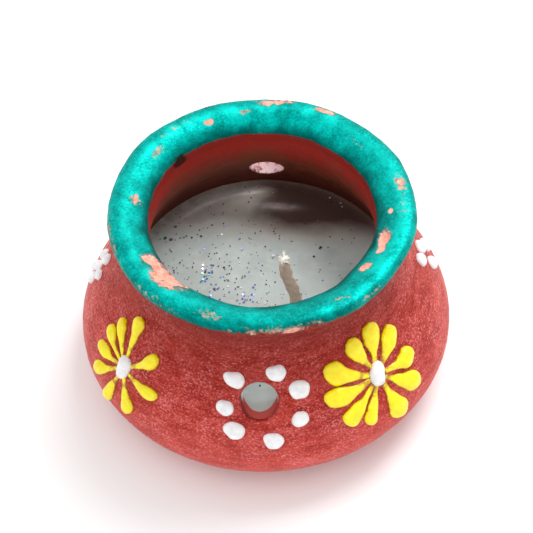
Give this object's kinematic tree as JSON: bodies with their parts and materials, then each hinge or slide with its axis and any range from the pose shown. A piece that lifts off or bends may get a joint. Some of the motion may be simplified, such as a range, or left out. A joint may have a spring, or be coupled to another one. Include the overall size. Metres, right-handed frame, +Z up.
{
  "type": "wax-filled pot diya",
  "caption": "Small pot-shaped clay diya filled with wax, painted metallic red with a teal rolled lip, liner-paint flowers and dots, two windows and glitter.",
  "frame": {"origin": "centre of the flat base", "axes": "+Z up along the turning axis, -Y through the front window, +X to the right seen from the front"},
  "size_m": [0.0766, 0.0766, 0.044],
  "materials": {
    "painted_clay": "metallic paint on terracotta",
    "wax": "candle wax, slightly glossy",
    "wick_cotton": "waxed cotton",
    "tinplate": "thin tinplate",
    "glitter": "metallised film",
    "white_liner_paint": "raised glossy paint",
    "yellow_liner_paint": "raised glossy paint"
  },
  "bodies": {
    "root": {"clay_pot": "painted_clay", "wax_fill": "wax", "wick": "wick_cotton", "wick_sustainer": "tinplate", "glitter_flakes": "glitter", "back_left_flower_centre": "white_liner_paint", "back_left_flower_petal_01": "yellow_liner_paint", "back_left_flower_petal_02": "yellow_liner_paint", "back_left_flower_petal_03": "yellow_liner_paint", "back_left_flower_petal_04": "yellow_liner_paint", "back_left_flower_petal_05": "yellow_liner_paint", "back_left_flower_petal_06": "yellow_liner_paint", "back_left_flower_petal_07": "yellow_liner_paint", "back_left_flower_petal_08": "yellow_liner_paint", "back_left_flower_petal_09": "yellow_liner_paint", "back_left_flower_petal_10": "yellow_liner_paint", "back_right_flower_centre": "white_liner_paint", "back_right_flower_petal_01": "yellow_liner_paint", "back_right_flower_petal_02": "yellow_liner_paint", "back_right_flower_petal_03": "yellow_liner_paint", "back_right_flower_petal_04": "yellow_liner_paint", "back_right_flower_petal_05": "yellow_liner_paint", "back_right_flower_petal_06": "yellow_liner_paint", "back_right_flower_petal_07": "yellow_liner_paint", "back_right_flower_petal_08": "yellow_liner_paint", "back_right_flower_petal_09": "yellow_liner_paint", "back_window_dots": "white_liner_paint", "front_window_dots": "white_liner_paint", "left_dot_rosette": "white_liner_paint", "left_flower_centre": "white_liner_paint", "left_flower_petal_01": "yellow_liner_paint", "left_flower_petal_02": "yellow_liner_paint", "left_flower_petal_03": "yellow_liner_paint", "left_flower_petal_04": "yellow_liner_paint", "left_flower_petal_05": "yellow_liner_paint", "left_flower_petal_06": "yellow_liner_paint", "left_flower_petal_07": "yellow_liner_paint", "left_flower_petal_08": "yellow_liner_paint", "left_flower_petal_09": "yellow_liner_paint", "right_dot_rosette": "white_liner_paint", "right_flower_centre": "white_liner_paint", "right_flower_petal_01": "yellow_liner_paint", "right_flower_petal_02": "yellow_liner_paint", "right_flower_petal_03": "yellow_liner_paint", "right_flower_petal_04": "yellow_liner_paint", "right_flower_petal_05": "yellow_liner_paint", "right_flower_petal_06": "yellow_liner_paint", "right_flower_petal_07": "yellow_liner_paint", "right_flower_petal_08": "yellow_liner_paint", "right_flower_petal_09": "yellow_liner_paint", "right_flower_petal_10": "yellow_liner_paint"}
  },
  "joints": []
}
